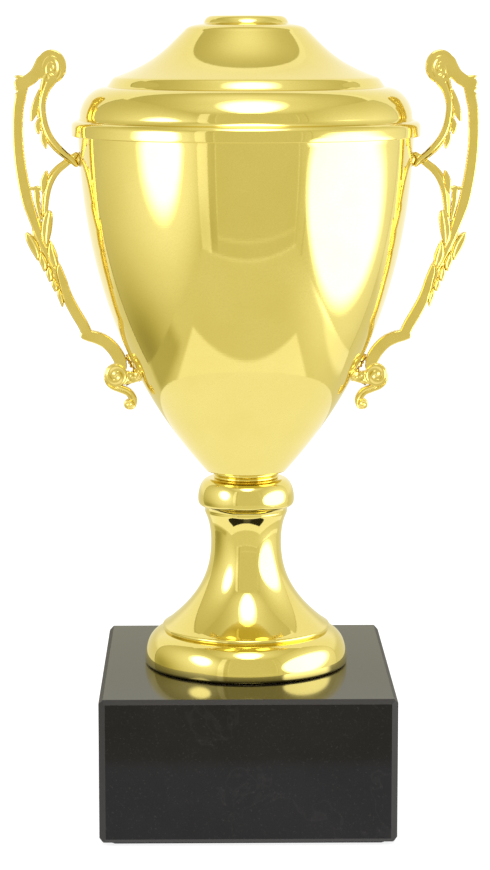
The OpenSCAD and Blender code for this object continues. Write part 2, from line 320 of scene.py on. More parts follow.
def turned(outline, segs=224, z=0.0, closed=True):
    """Vertices and faces of a profile turned round Z; a radius of 0 makes a pole."""
    verts, rows, faces = [], [], []
    for r, h in outline:
        if r < 1e-6:
            rows.append([len(verts)] * segs)
            verts.append((0, 0, h + z))
            continue
        rows.append(list(range(len(verts), len(verts) + segs)))
        for i in range(segs):
            a = 2 * math.pi * i / segs
            verts.append((r * math.cos(a), r * math.sin(a), h + z))
    pairs = list(zip(rows, rows[1:] + rows[:1])) if closed else list(zip(rows, rows[1:]))
    for lower, upper in pairs:
        for i in range(segs):
            j = (i + 1) % segs
            quad = [lower[i], lower[j], upper[j], upper[i]]
            face = [v for k, v in enumerate(quad) if v not in quad[:k]]
            if len(face) > 2:
                faces.append(face)
    return verts, faces


def joined(parts):
    """One list of vertices and faces from several."""
    verts, faces = [], []
    for v, f in parts:
        base = len(verts)
        verts += list(v)
        faces += [[i + base for i in face] for face in f]
    return verts, faces


# ---------------------------------------------------------------- levels and sizes

stem_z = low("stem")[2]
stem_h = high("stem")[2] - stem_z
foot_r = high("stem")[0]
collar_z = low("collar")[2]
collar_h = high("collar")[2] - collar_z
collar_r = high("collar")[0]
ring_z = low("neck_ring")[2]
ring_h = high("neck_ring")[2] - ring_z
ring_r = high("neck_ring")[0]
bowl_z = low("bowl")[2]
bead_r = 1.0            # rolled rim of the bowl
rim_z = high("bowl")[2] - bead_r
rim_r = high("bowl")[0] - bead_r
bowl_h = rim_z - bowl_z
lid_z = low("lid")[2]
lid_h = high("lid")[2] - lid_z
lid_r = high("lid")[0]
sheet = 0.8             # bowl and lid
stem_wall = 1.2
hole = 3.3              # radius of the rod's hole
waist_r = 12.3          # narrowest part of the stem

# ---------------------------------------------------------------- bowl


def bowl_line(n=90):
    """Outer face of the bowl, from its foot up to the rim."""
    return bezier((14, 0), (28.3, 16.3), (rim_r - 1.4, 51.5), (rim_r, bowl_h), n)


def bowl():
    """Spun cup with a rolled rim and a hole for the rod in its flat bottom."""
    line = bowl_line()
    lip = arc(rim_r, bowl_h, bead_r, -80, 200, 20)
    inner = [p for p in reversed(shifted(line, -sheet)) if sheet + 0.3 < p[1] < bowl_h - 0.8]
    bottom = [(13.4, sheet + 0.1), (12.4, sheet), (hole + 0.2, sheet), (hole, sheet - 0.2), (hole, 0)]
    foot = [(13.2, 0), (13.8, 0.05)]
    outline = foot + line[:-1] + lip + inner + bottom
    v, f = turned(outline, 256, bowl_z)
    piece("bowl_shell", v, f, GOLD_SPUN, "cup", ["bowl"])


def lid():
    """Spun lid: flat top, hollow slope, a step, a shoulder and a skirt over the rim."""
    top = lid_h
    line = [(0, top), (4, top), (8, top)]
    line += bezier((11.3, top), (13, top), (14.1, top - 0.9), (14.4, top - 2.4), 10)
    line += bezier((14.9, top - 2.75), (18.6, top - 3.1), (20.2, top - 3.8), (21.1, top - 5), 12)
    line += bezier((21.3, top - 5.2), (27.5, 29.5), (31, 24.9), (44.8, 20), 34)
    line += bezier((45, 19.9), (45.8, 19.5), (46.4, 18.3), (47.3, 17), 14)
    line += bezier((47.6, 16.7), (52.7, 16.7), (57, 11.7), (57, 6.2), 26)
    line += bezier((57.5, 5.4), (59, 5.2), (lid_r, 4.4), (lid_r, 3.2), 8)
    line += [(lid_r, 1.6), (lid_r, 0.35)] + arc(lid_r - 0.35, 0.35, 0.35, 0, -90, 3)
    inside = lid_r - sheet
    hem = [(inside + 0.1, 0), (inside, 0.1), (inside, 3.4)]
    inner = reversed(shifted(line[:-4], sheet))
    inner = [p for p in inner if p[1] > 4.2 and 0.05 < p[0] < inside - 0.1]
    outline = line + hem + inner + [(0, top - sheet)]
    v, f = turned(outline, 256, lid_z, closed=False)
    piece("lid_shell", v, f, GOLD_SPUN, "lid", ["lid"])


# ---------------------------------------------------------------- stem, collar and ring


def stem():
    """Trumpet foot with a bead above its rounded skirt, open underneath."""
    h = stem_h
    line = bezier((14.4, h), (14.6, h - 1.2), (waist_r, h - 3), (waist_r, h - 11.2), 24)
    line += bezier((waist_r, h - 11.2), (waist_r, 33.6), (15, 24.3), (28.2, 14.1), 44)[1:]
    line += bezier((28.6, 13.9), (29.6, 13.5), (29.6, 12.5), (28.9, 12.2), 10)
    line += bezier((29.2, 12), (33.8, 10.9), (foot_r + 0.1, 6), (foot_r, 1.2), 30)
    line += bezier((foot_r - 0.01, 0.9), (foot_r - 0.05, 0.5), (foot_r - 0.3, 0.1), (foot_r - 0.7, 0), 6)
    inner = [p for p in reversed(shifted(line, stem_wall)) if 0.3 < p[1] < h - 2.2]
    top = [(waist_r - 0.6, h - 2), (hole, h - 2)]
    outline = [(hole, h)] + line + [(foot_r - 2.2, 0)] + inner + top
    v, f = turned(outline, 192, stem_z)
    piece("stem_shell", v, f, GOLD_SPUN, "cup", ["stem"])


def collar():
    """Bulging cap on top of the stem."""
    h = collar_h
    r = collar_r
    line = bezier((12.6, h), (15.2, h), (r, 8), (r, 4), 26)
    line += bezier((r - 0.05, 3.6), (r - 0.1, 2.4), (r - 0.6, 1.9), (15, 1.5), 12)
    line += [(14.7, 1.1), (14.4, 0.5), (14.4, 0)]
    inner = [(10, 0), (10, 1.6), (14, 3), (14.6, 6), (12, h - 1.6), (hole, h - 1.6)]
    v, f = turned([(hole, h)] + line + inner, 160, collar_z)
    piece("collar_cap", v, f, GOLD_SPUN, "cup", ["collar"])


def neck_ring():
    """Double bead between collar and bowl."""
    r = ring_r
    line = bezier((r - 0.7, 0), (r - 0.2, 0.2), (r - 0.2, 0.9), (r - 0.7, 1.1), 10)
    line += bezier((r - 0.6, 1.2), (r + 0.1, 1.3), (r + 0.1, 2.6), (r - 0.8, ring_h), 14)
    v, f = turned([(hole, 0), (r - 1, 0)] + line + [(hole, ring_h)], 160, ring_z)
    piece("ring_under_bowl", v, f, GOLD_SPUN, "cup", ["neck_ring"])


bowl()
lid()
stem()
collar()
neck_ring()

# ---------------------------------------------------------------- handles
# Each band or leaf of the right handle is a row of (distance beyond the rim radius,
# height above the bowl's underside, half width) in millimetres, along its middle.

STRAP = [
    (19, 133.6, 2.4), (19.4, 129, 1.8), (20.2, 124, 1.7), (20.4, 114.5, 1.7),
    (19.5, 104.7, 1.8), (17.7, 94.9, 1.85), (16.3, 90, 1.7), (14.4, 84.5, 1.4),
    (12.3, 79, 1.15), (10.2, 74, 0.95), (8.2, 69.8, 0.6),
]
NECK = [
    (10.8, 140.2, 3.5), (12.4, 138.9, 2.6), (14, 137.1, 2.1), (15.7, 135.5, 2.1),
    (17.3, 134.5, 2.1), (19, 133.7, 2.4),
]
EAR = [(18, 135.2, 1), (19.6, 135.7, 0.9), (21, 136.2, 0.3)]
INNER = [
    (9.6, 135, 2.5), (11, 132, 1.75), (12, 129, 1.6), (12.4, 126.4, 1.55),
    (12.3, 123.4, 1.55), (11.8, 120.3, 1.55), (10.8, 117.3, 1.5), (9.3, 114.6, 1.45),
    (7.2, 112, 1.4), (4.7, 109.7, 1.25), (2.4, 107.9, 1.1), (0.6, 105.9, 0.6),
]
LOWER = [
    (0.7, 109.8, 0.7), (2.4, 108.2, 1.15), (4.6, 106.4, 1.3), (7, 104.5, 1.4),
    (8.9, 102.1, 1.45), (10.3, 99, 1.4), (11.1, 95.5, 1.3), (11.5, 91.5, 1.15),
    (11.6, 87, 0.8),
]
UNDER_LEAVES = [
    (14.6, 86.5, 1.7), (12.6, 80, 2.7), (10.4, 74.3, 2.7), (8.3, 69.5, 2.4),
    (6.2, 65, 2), (4.6, 61, 1.6),
]
STEM = [
    (6.9, 71.6, 0.5), (6.6, 69.5, 1.1), (5.6, 66.3, 1.35), (4.6, 62.6, 1.55),
    (3.5, 59.5, 1.75), (1.3, 55.3, 1.8), (-1, 51.4, 1.8), (-2.4, 48.4, 1.8),
]
ARC = [
    (-2, 47.4, 1.6), (-3.6, 47.1, 1.9), (-6, 46.5, 2.05), (-9.2, 44.9, 2.1),
    (-11.9, 42.2, 2.15), (-13.8, 39, 2.15), (-14.4, 36.4, 1.9),
]
TAIL = [
    (-9.6, 34.4, 0.9), (-9.6, 32, 1.2), (-11.2, 29.9, 1.3), (-14, 28.7, 1.3),
    (-16.8, 27.4, 1.3), (-18.4, 25, 1.3), (-18.1, 22.9, 1.2), (-17, 22.4, 1),
]
ARM = [(-14.5, 32.6, 2.5), (-17.2, 32.6, 2.1), (-19.4, 32.8, 1.7), (-21.8, 33.5, 1.4)]
ARM_BEADS = [(-16.2, 34), (-18, 33.2), (-17.2, 31.6), (-19.6, 32.6)]
BAR = [(12, 98.1, 0.6), (17.2, 98, 0.6)]
RIB = [(14.2, 98, 1), (13.9, 93, 0.9), (13.1, 87.6, 0.5)]
# Leaves that grow from the two inner branches, from root to tip
TWIGS = [
    [(12.9, 131.5, 0.4), (13.9, 128, 1), (14.7, 124.5, 1.2), (15.7, 121.2, 0.35)],
    [(12.9, 122, 0.5), (13.6, 119.4, 1), (13.4, 116.8, 0.35)],
    [(11.9, 117.5, 0.4), (11.6, 114.8, 1), (10.9, 111.9, 0.35)],
    [(12.1, 97.2, 0.6), (11.6, 100.5, 1.2), (10.9, 103.7, 0.5)],
]
# Leaves that overlap along the middle of the handle, from the lowest one up
LEAVES = [
    [(7.1, 63.3, 0.4), (6.7, 61.5, 0.9), (6.1, 59.6, 0.8), (5.8, 57.4, 0.25)],
    [(8.7, 66.9, 0.4), (8.5, 65.2, 1), (8.1, 64, 0.95), (8.2, 62.9, 0.4)],
    [(10.4, 70.9, 0.4), (10.2, 69, 1.1), (9.9, 67.6, 1), (10, 66.2, 0.35)],
    [(13, 75.7, 0.5), (12.5, 73.6, 1.25), (11.9, 71.8, 1.15), (11.9, 69.8, 0.4)],
    [(17.8, 82.5, 0.5), (16.8, 80.8, 1.35), (15.4, 78.2, 1.6), (14.4, 75.5, 1.1), (14.1, 73.6, 0.35)],
    [(9.7, 79.5, 0.4), (9.4, 77, 1.2), (8.8, 74.5, 1.5), (8.1, 72, 1)],
    [(11.1, 78.4, 0.3), (11.2, 81, 1.3), (11, 84, 1.8), (10.5, 87.4, 1.7), (10.1, 89.4, 1.1)],
]
UPPER_FOOT_Z = 108      # where the branches and the arm meet the bowl, above its underside
LOWER_FOOT_Z = 33.4

GRID = 0.13             # spacing of the relief's points
FACE = 2.15             # half thickness over the flat faces
THINNEST, THICKEST = 0.8, 2.48
BEVEL_W = 0.26
BEVEL_H = 0.28
LEAF_BEVEL = 0.42       # width of the bevel round a leaf
GROOVE_W = 0.22
NOTCH_PITCH = 1.9       # notches of the ear
EAR_FROM, EAR_TO = 130.4, 135.6
FAR_OUT = -5.0          # distance given to points that are nowhere near a band


def smooth_curve(ctrl, spacing=0.12):
    """Catmull-Rom through the points, finely divided; the width goes along."""
    c = np.array(ctrl, float)
    last = len(c) - 1
    out = []
    for i in range(last):
        a, b, d, e = c[max(i - 1, 0)], c[i], c[i + 1], c[min(i + 2, last)]
        n = max(4, int(np.linalg.norm((d - b)[:2]) / spacing))
        for t in np.arange(n) / n:
            out.append(0.5 * (2 * b + (d - a) * t + (2 * a - 5 * b + 4 * d - e) * t * t
                              + (3 * b - a - 3 * d + e) * t**3))
    out.append(c[last])
    return np.array(out)


def smoothstep(t):
    t = np.clip(t, 0, 1)
    return t * t * (3 - 2 * t)


def ridge(d, at, width, height):
    """A narrow ridge where d is at, or a groove if its height is negative."""
    return height * np.exp(-((d - at) / width) ** 2)


class Relief:
    """Half thickness h and distance to the edge (positive inside) over a grid."""

    def __init__(self):
        xs = np.arange(-25, 25, GRID)
        ys = np.arange(18, 148, GRID)
        self.x, self.y = np.meshgrid(xs, ys, indexing="ij")
        self.edge = np.full(self.x.shape, FAR_OUT)
        self.h = np.full(self.x.shape, FACE - 0.6)

    def band(self, ctrl):
        """Distance inside a band's edge, and place across it from -1 to 1."""
        p = smooth_curve(ctrl)
        t = np.gradient(p[:, :2], axis=0)
        t /= np.linalg.norm(t, axis=1)[:, None]
        lo = p[:, :2].min(0) - 4
        hi = p[:, :2].max(0) + 4
        near = (self.x > lo[0]) & (self.x < hi[0]) & (self.y > lo[1]) & (self.y < hi[1])
        qx = self.x[near]
        qy = self.y[near]
        gap = np.hypot(qx[:, None] - p[None, :, 0], qy[:, None] - p[None, :, 1])
        k = np.argmax(p[None, :, 2] - gap, 1)
        d = np.full(self.x.shape, FAR_OUT)
        across = np.zeros(self.x.shape)
        d[near] = p[k, 2] - gap[np.arange(len(k)), k]
        across[near] = ((qx - p[k, 0]) * t[k, 1] - (qy - p[k, 1]) * t[k, 0]) / p[k, 2]
        return d, across

    def oval(self, cx, cy, rx, ry):
        """Distance inside an oval's edge, share of the way out to it, and the angle."""
        dx = (self.x - cx) / rx
        dy = (self.y - cy) / ry
        rho = np.hypot(dx, dy)
        return (1 - rho) * min(rx, ry), rho, np.arctan2(dy, dx)

    def swirl(self, cx, cy, rx, ry, turns, hand, height):
        """Spiral ridge that fills an oval and dies away at its edge."""
        rho, angle = self.oval(cx, cy, rx, ry)[1:]
        wave = np.cos(2 * math.pi * turns * rho + hand * angle)
        return height * wave * smoothstep((1 - rho) / 0.15)

    def lay(self, d, level=FACE, extra=0.0, groove=0.0, bevel=BEVEL_W):
        """Put a flat-topped shape on the casting; a groove parts it from what it lies on."""
        top = level - BEVEL_H * (1 - smoothstep(d / bevel)) + extra
        if groove:
            beside = (d <= 0) & (self.edge > 0)
            sunk = self.h - groove * (1 - smoothstep(-d / GROOVE_W))
            self.h = np.where(beside, sunk, self.h)
        else:
            top = np.maximum(self.h, top)
        self.h = np.where(d > 0, top, self.h)
        self.edge = np.maximum(self.edge, d)


def lay_strap(r):
    """Ground under the leaves, then the outer strap, its notched ear, neck, bar and rib."""
    r.lay(r.band(UNDER_LEAVES)[0], FACE - 0.3)
    d, across = r.band(STRAP)
    ear = (across < -0.3) & (r.y > EAR_FROM) & (r.y < EAR_TO)
    r.lay(d - 0.3 * (1 + np.cos(2 * math.pi * r.y / NOTCH_PITCH)) * ear)
    for ctrl in (NECK, EAR):
        r.lay(r.band(ctrl)[0])
    for ctrl in (BAR, RIB):
        r.lay(r.band(ctrl)[0], FACE - 0.05)


def lay_branches(r):
    """Inner branches, flat on the cup's side with a rib along the other, and their leaves."""
    for ctrl, groove in ((LOWER, 0.25), (INNER, 0.3)):
        d, across = r.band(ctrl)
        rib = ridge(across, -0.62, 0.2, 0.16) - ridge(across, -0.28, 0.14, 0.2)
        r.lay(d, extra=rib * (d > 0.05) * (across < 0), groove=groove)
    for ctrl in TWIGS:
        r.lay(r.band(ctrl)[0], FACE - 0.02, groove=0.2)


def lay_leaves(r):
    """Stem, and the veined leaves that overlap above it."""
    r.lay(r.band(STEM)[0], groove=0.35)
    for ctrl in LEAVES:
        d, across = r.band(ctrl)
        vein = ridge(across, 0.1, 0.2, -0.16) * smoothstep((d - 0.35) / 0.3)
        r.lay(d, FACE + 0.06, extra=vein, groove=0.3, bevel=LEAF_BEVEL)


def lay_scrolls(r):
    """Arc, beaded arm and tail, then the three volutes."""
    r.lay(r.band(ARC)[0])
    beads = sum(ridge(np.hypot(r.x - bx, r.y - by), 0, 0.6, 0.3) for bx, by in ARM_BEADS)
    r.lay(r.band(ARM)[0], FACE - 0.15, extra=beads)
    d, across = r.band(TAIL)
    rib = ridge(across, 0.45, 0.35, 0.1) - ridge(across, -0.05, 0.2, 0.22)
    r.lay(d, extra=rib, groove=0.3)
    # the top volute has a flat border; the two lower ones are spirals right across
    top, lower, curl = (r.oval(*size)[0] for size in (
        (8.75, 139.5, 5.05, 5.75), (-12.4, 33.4, 3.9, 4), (-17, 23.3, 1.8, 1.8)))
    r.lay(top, extra=r.swirl(8.6, 138.9, 3.3, 4.6, 2, 1, 0.13))
    r.lay(lower, extra=r.swirl(-12.5, 33.4, 3.5, 3.6, 1.25, -1, 0.2), groove=0.25)
    r.lay(curl, extra=r.swirl(-17, 23.3, 1.6, 1.6, 0.8, 1, 0.17), groove=0.25)


def handle_relief():
    """The whole casting, in millimetres from the rim radius and the bowl's underside."""
    r = Relief()
    lay_strap(r)
    lay_branches(r)
    lay_leaves(r)
    lay_scrolls(r)
    r.h = np.clip(r.h, THINNEST, THICKEST)
    return r


def settle_rim(rim, px, py, depth, gx, gy):
    """Move the points of the rim on to the true edge, then even them out along it."""
    ids = np.array(sorted({a for a, b in rim}))
    slope = np.maximum(gx[ids] ** 2 + gy[ids] ** 2, 0.25)
    step = np.clip(depth[ids] / slope, -GRID, 1.2 * GRID)
    px[ids] -= step * gx[ids]
    py[ids] -= step * gy[ids]
    after = {a: b for a, b in rim}
    before = {b: a for a, b in rim}
    both = np.array([v for v in ids if v in after and v in before])
    nxt = np.array([after[v] for v in both])
    prv = np.array([before[v] for v in both])
    for _ in range(3):
        mx = (px[nxt] + px[prv]) / 2
        my = (py[nxt] + py[prv]) / 2
        px[both] += 0.4 * (mx - px[both])
        py[both] += 0.4 * (my - py[both])
    return ids


def averaged(values, faces):
    """Mean over the faces round each point of the mean over each face."""
    corners = np.array(faces)
    total = np.zeros(len(values))
    hits = np.zeros(len(values))
    mean = values[corners].mean(1)
    for c in range(4):
        np.add.at(total, corners[:, c], mean)
        np.add.at(hits, corners[:, c], 1)
    return total / hits


def relief_mesh(r):
    """Front and back of the casting, with a wall between them round every edge."""
    inside = r.edge > -0.4 * GRID
    cells = inside[:-1, :-1] & inside[1:, :-1] & inside[1:, 1:] & inside[:-1, 1:]
    used = np.zeros_like(inside)
    for di, dj in ((0, 0), (1, 0), (1, 1), (0, 1)):
        used[di:di + cells.shape[0], dj:dj + cells.shape[1]] |= cells
    index = -np.ones(used.shape, int)
    index[used] = np.arange(used.sum())
    faces = [(index[i, j], index[i + 1, j], index[i + 1, j + 1], index[i, j + 1])
             for i, j in np.argwhere(cells)]
    seen = {(a, b) for f in faces for a, b in zip(f, f[1:] + f[:1])}
    rim = [(a, b) for a, b in seen if (b, a) not in seen]

    gx, gy = np.gradient(r.edge, GRID)
    px, py, half, depth, gx, gy = (v[used].copy() for v in (r.x, r.y, r.h, r.edge, gx, gy))
    ids = settle_rim(rim, px, py, depth, gx, gy)
    half[ids] = np.minimum(half[ids], FACE - BEVEL_H)
    half = 0.45 * half + 0.55 * averaged(half, faces)

    n = len(px)
    verts = [(px[i], -half[i], py[i]) for i in range(n)]
    verts += [(px[i], half[i], py[i]) for i in range(n)]
    sides = [(b, a, a + n, b + n) for a, b in rim]
    backs = [tuple(v + n for v in reversed(f)) for f in faces]
    return verts, faces + backs + sides


def wall_frame(height):
    """Point on the bowl's outer face, and the unit vectors out of it and up along it."""
    wall = np.array(bowl_line(200))
    k = int(np.argmin(np.abs(wall[:, 1] - height)))
    t = wall[k + 1] - wall[k - 1]
    t /= np.linalg.norm(t)
    point = Vector((wall[k, 0], 0, bowl_z + wall[k, 1]))
    return point, Vector((t[1], 0, -t[0])), Vector((t[0], 0, t[1]))


def tube_faces(rows, n):
    """Quads between rows of n points each, closed round."""
    faces = []
    for i in range(rows - 1):
        for j in range(n):
            k = (j + 1) % n
            faces.append((i * n + j, i * n + k, i * n + n + k, i * n + n + j))
    return faces


def blob(centre, along, across, out, half_sizes, n=12, rows=8):
    """A pillow with the given half sizes in the three directions."""
    a, b, c = half_sizes
    verts = []
    for i in range(rows + 1):
        v = math.pi * i / rows
        for j in range(n):
            w = 2 * math.pi * j / n
            offset = along * (a * math.cos(v)) + across * (b * math.sin(v) * math.cos(w))
            verts.append(tuple(centre + offset + out * (c * math.sin(v) * math.sin(w))))
    return verts, tube_faces(rows + 1, n)


def foot(height, profile, n=40):
    """Flared round foot on the bowl's wall; the profile is (radius, distance out)."""
    base, out, up = wall_frame(height)
    side = Vector((0, 1, 0))
    verts = []
    for radius, away in profile:
        for i in range(n):
            a = 2 * math.pi * i / n
            spoke = side * (radius * math.cos(a)) + up * (radius * math.sin(a))
            verts.append(tuple(base + out * away + spoke))
    rows = len(profile)
    ends = [list(range(n)), list(range((rows - 1) * n, rows * n))]
    return verts, tube_faces(rows, n) + ends


def leaf_pad(height, below, above, half_w):
    """Ribbed leaf that lies on the bowl round the lower foot, with beads up its middle."""
    side = Vector((0, 1, 0))
    rows, cols = 36, 14
    top, under = [], []
    for i in range(rows + 1):
        f = i / rows
        ribs = math.cos(f * 30)
        base, out, up = wall_frame(height - below + f * (below + above))
        taper = math.sin(math.pi * min(max(f, 0.01), 0.99) ** 0.8) ** 0.75
        half = half_w * taper * (1 + 0.1 * ribs)
        for j in range(cols + 1):
            g = -1 + 2 * j / cols
            y = g * half
            point = base + Vector((math.sqrt(base.x * base.x - y * y) - base.x, y, 0))
            lift = 1.15 * (1 - abs(g) ** 2.2) * (0.8 + 0.2 * ribs) + 0.15
            top.append(tuple(point + out * lift))
            under.append(tuple(point + out * 0.03))
    m, w = len(top), cols + 1
    faces = []
    for i in range(rows):
        for j in range(cols):
            k = i * w + j
            faces.append((k, k + 1, k + w + 1, k + w))
            faces.append((m + k + w, m + k + w + 1, m + k + 1, m + k))
        for k in (i * w, i * w + cols):
            faces.append((k, k + w, m + k + w, m + k))
    for j in range(cols):
        for k in (j, rows * w + j):
            faces.append((k, k + 1, m + k + 1, m + k))
    parts = [(top + under, faces)]
    for f in (0.6, 0.72, 0.83, 0.92):
        base, out, up = wall_frame(height - below + f * (below + above))
        parts.append(blob(base + out * (1.35 - 0.5 * f), up, side, out, (0.6, 0.75, 0.5)))
    return parts


def handles():
    """The right casting, and its mirror image on the left."""
    verts, faces = relief_mesh(handle_relief())
    parts = [([(x + rim_r, y, z + bowl_z) for x, y, z in verts], faces)]
    upper = [(2.65, 0.03), (2.5, 0.3), (1.9, 0.75), (1.5, 1.4), (1.35, 2.2), (1.3, 3.2)]
    lower = [(2.5, 0.03), (2.4, 0.6), (2, 1.2), (1.8, 2), (1.7, 2.8)]
    parts.append(foot(UPPER_FOOT_Z, upper))
    parts.append(foot(LOWER_FOOT_Z, lower))
    parts += leaf_pad(LOWER_FOOT_Z, below=1.9, above=7.2, half_w=3.1)
    verts, faces = joined(parts)
    piece("handle_cast_right", verts, faces, GOLD_CAST, "cup", ["handle_right"], sharp=50)
    verts = [(-x, y, z) for x, y, z in verts]
    piece("handle_cast_left", verts, faces, GOLD_CAST, "cup", ["handle_left"], sharp=50)


handles()

# ---------------------------------------------------------------- fasteners

ROD_PITCH = 1.0
ROD_THREAD = 0.45       # depth of the thread
NUT_BORE = 3.0          # radius


def threaded(z0, z1, r, pitch, depth, segs=36, step=0.125, ends=13.0):
    """A rod with a cut thread over the given length at both ends."""
    heights = list(np.arange(z0, z0 + ends, step)) + list(np.arange(z1 - ends, z1, step))
    levels = sorted({round(z, 4) for z in heights} | {z1})
    verts = []
    for z in levels:
        taper = min(1.0, 0.55 + (z - z0) / 1.2, 0.55 + (z1 - z) / 1.2)
        plain = z0 + ends - 0.2 < z < z1 - ends + 0.2
        for i in range(segs):
            a = 2 * math.pi * i / segs
            w = abs(((z / pitch - a / (2 * math.pi)) % 1) * 2 - 1)
            cut_r = (r - (0 if plain else depth * w)) * (0.72 + 0.28 * taper)
            verts.append((cut_r * math.cos(a), cut_r * math.sin(a), z))
    ends = [list(range(segs)), list(range((len(levels) - 1) * segs, len(levels) * segs))]
    return verts, tube_faces(len(levels), segs) + ends


def hex_nut(z0, z1, corner_r, bore_r, segs=72):
    """Hexagon nut with chamfered corners and a countersunk bore."""
    flat = corner_r * math.cos(math.pi / 6)
    face_r = flat * 0.96
    verts, faces = [], []

    def ring(radius, z):
        """A ring of points at a radius, or on the hexagon if it is None."""
        start = len(verts)
        for i in range(segs):
            a = 2 * math.pi * i / segs
            turn = (a % (math.pi / 3)) - math.pi / 6
            hexed = flat / math.cos(turn)
            r = hexed if radius is None else radius
            drop = (hexed - face_r) * math.tan(math.radians(30)) if radius is None else 0
            level = z - drop if z > (z0 + z1) / 2 else z + drop
            verts.append((r * math.cos(a), r * math.sin(a), level))
        return start

    sink = 0.5
    rows = [ring(bore_r, z0 + sink), ring(bore_r + sink, z0), ring(face_r, z0), ring(None, z0),
            ring(None, z1), ring(face_r, z1), ring(bore_r + sink, z1), ring(bore_r, z1 - sink)]
    for a, b in zip(rows, rows[1:] + rows[:1]):
        for i in range(segs):
            j = (i + 1) % segs
            faces.append((a + i, a + j, b + j, b + i))
    return verts, faces


def flat_washer(name, node, bore):
    """Stamped washer, with one edge rounder than the other."""
    lo, hi = low(node), high(node)
    r = hi[0]
    b = 0.18
    outline = [(bore, lo[2] + b), (bore + b, lo[2]), (r - b, lo[2]), (r, lo[2] + b),
               (r, hi[2] - b), (r - 2 * b, hi[2]), (bore + b, hi[2]), (bore, hi[2] - b)]
    v, f = turned(outline, 96)
    piece(name, v, f, ZINC, "cup", [node])


def split_washer(name, node):
    """Spring washer: one open turn that rises by its own offset."""
    lo, hi = low(node), high(node)
    r, steps, offset = hi[0], 80, 0.4
    section = [(3.35, 0.1), (3.5, 0), (r - 0.15, 0), (r, 0.1),
               (r, 1.1), (r - 0.15, 1.2), (3.5, 1.2), (3.35, 1.1)]
    verts = []
    for i in range(steps + 1):
        a = math.radians(6 + 348 * i / steps)
        rise = offset * i / steps
        for radius, z in section:
            verts.append((radius * math.cos(a), radius * math.sin(a), lo[2] + z + rise))
    m = len(section)
    ends = [list(range(m)), list(range(steps * m, steps * m + m))]
    faces = tube_faces(steps + 1, m) + ends
    piece(name, verts, faces, ZINC, "cup", [node])


def fasteners():
    """The clamping rod with its nuts and washers."""
    lo, hi = low("tie_rod"), high("tie_rod")
    verts, faces = threaded(lo[2], hi[2], hi[0], ROD_PITCH, ROD_THREAD)
    piece("rod_threaded", verts, faces, ZINC, "cup", ["tie_rod"], sharp=60)
    for node in ("base_nut", "bowl_nut"):
        lo, hi = low(node), high(node)
        verts, faces = hex_nut(lo[2], hi[2], hi[0], NUT_BORE)
        piece(node + "_hex", verts, faces, ZINC, "cup", [node], sharp=20)
    flat_washer("base_washer_disc", "base_washer", hole)
    flat_washer("bowl_washer_disc", "bowl_washer", hole)
    split_washer("base_lock_washer_split", "base_lock_washer")


fasteners()

# ---------------------------------------------------------------- CAD pieces that stay


def softened(node, mat, width, segments=2, angle=30):
    """A CAD node kept as it is, with rounded edges and its real material."""
    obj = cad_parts[node]
    obj.data.materials.clear()
    obj.data.materials.append(mat)
    bevel = obj.modifiers.new("edges", "BEVEL")
    bevel.width = width * MM
    bevel.segments = segments
    bevel.limit_method = "ANGLE"
    bevel.angle_limit = math.radians(angle)
    return obj


softened("marble_base", MARBLE, 0.25, 3)
softened("felt_pad", FELT, 0.2)
for side in ("left", "right"):
    for level in ("upper", "lower"):
        softened(f"{level}_screw_{side}", ZINC, 0.12)
        softened(f"{level}_washer_{side}", ZINC, 0.08)

# ---------------------------------------------------------------- floor, light and camera

BRIGHT = 1.2            # level of the tent's white cloth
CARD_LEVEL = 0.94       # level of the card as a share of it
TENT_X0, TENT_X1 = -250, 280
TENT_Y0, TENT_Y1 = -400, 150
TENT_TOP = 470
WIDE = 900              # a patch's size in a direction in which it has no end
WHITE = (1, 1, 1, 1)
WARM = (1, 0.93, 0.45, 1)
FLOOR_HALF = 6.0        # metres
FLOOR_DROP = 0.0002
FLOOR_GLOW = 0.82
CAMERA_PLACE = (-0.00037, -0.9243, 0.2732)     # metres, before it swings round the cup
CAMERA_TURN = -0.0142                          # radians
CAMERA_DOWN = 0.15321
CAMERA_LENS = 111.0


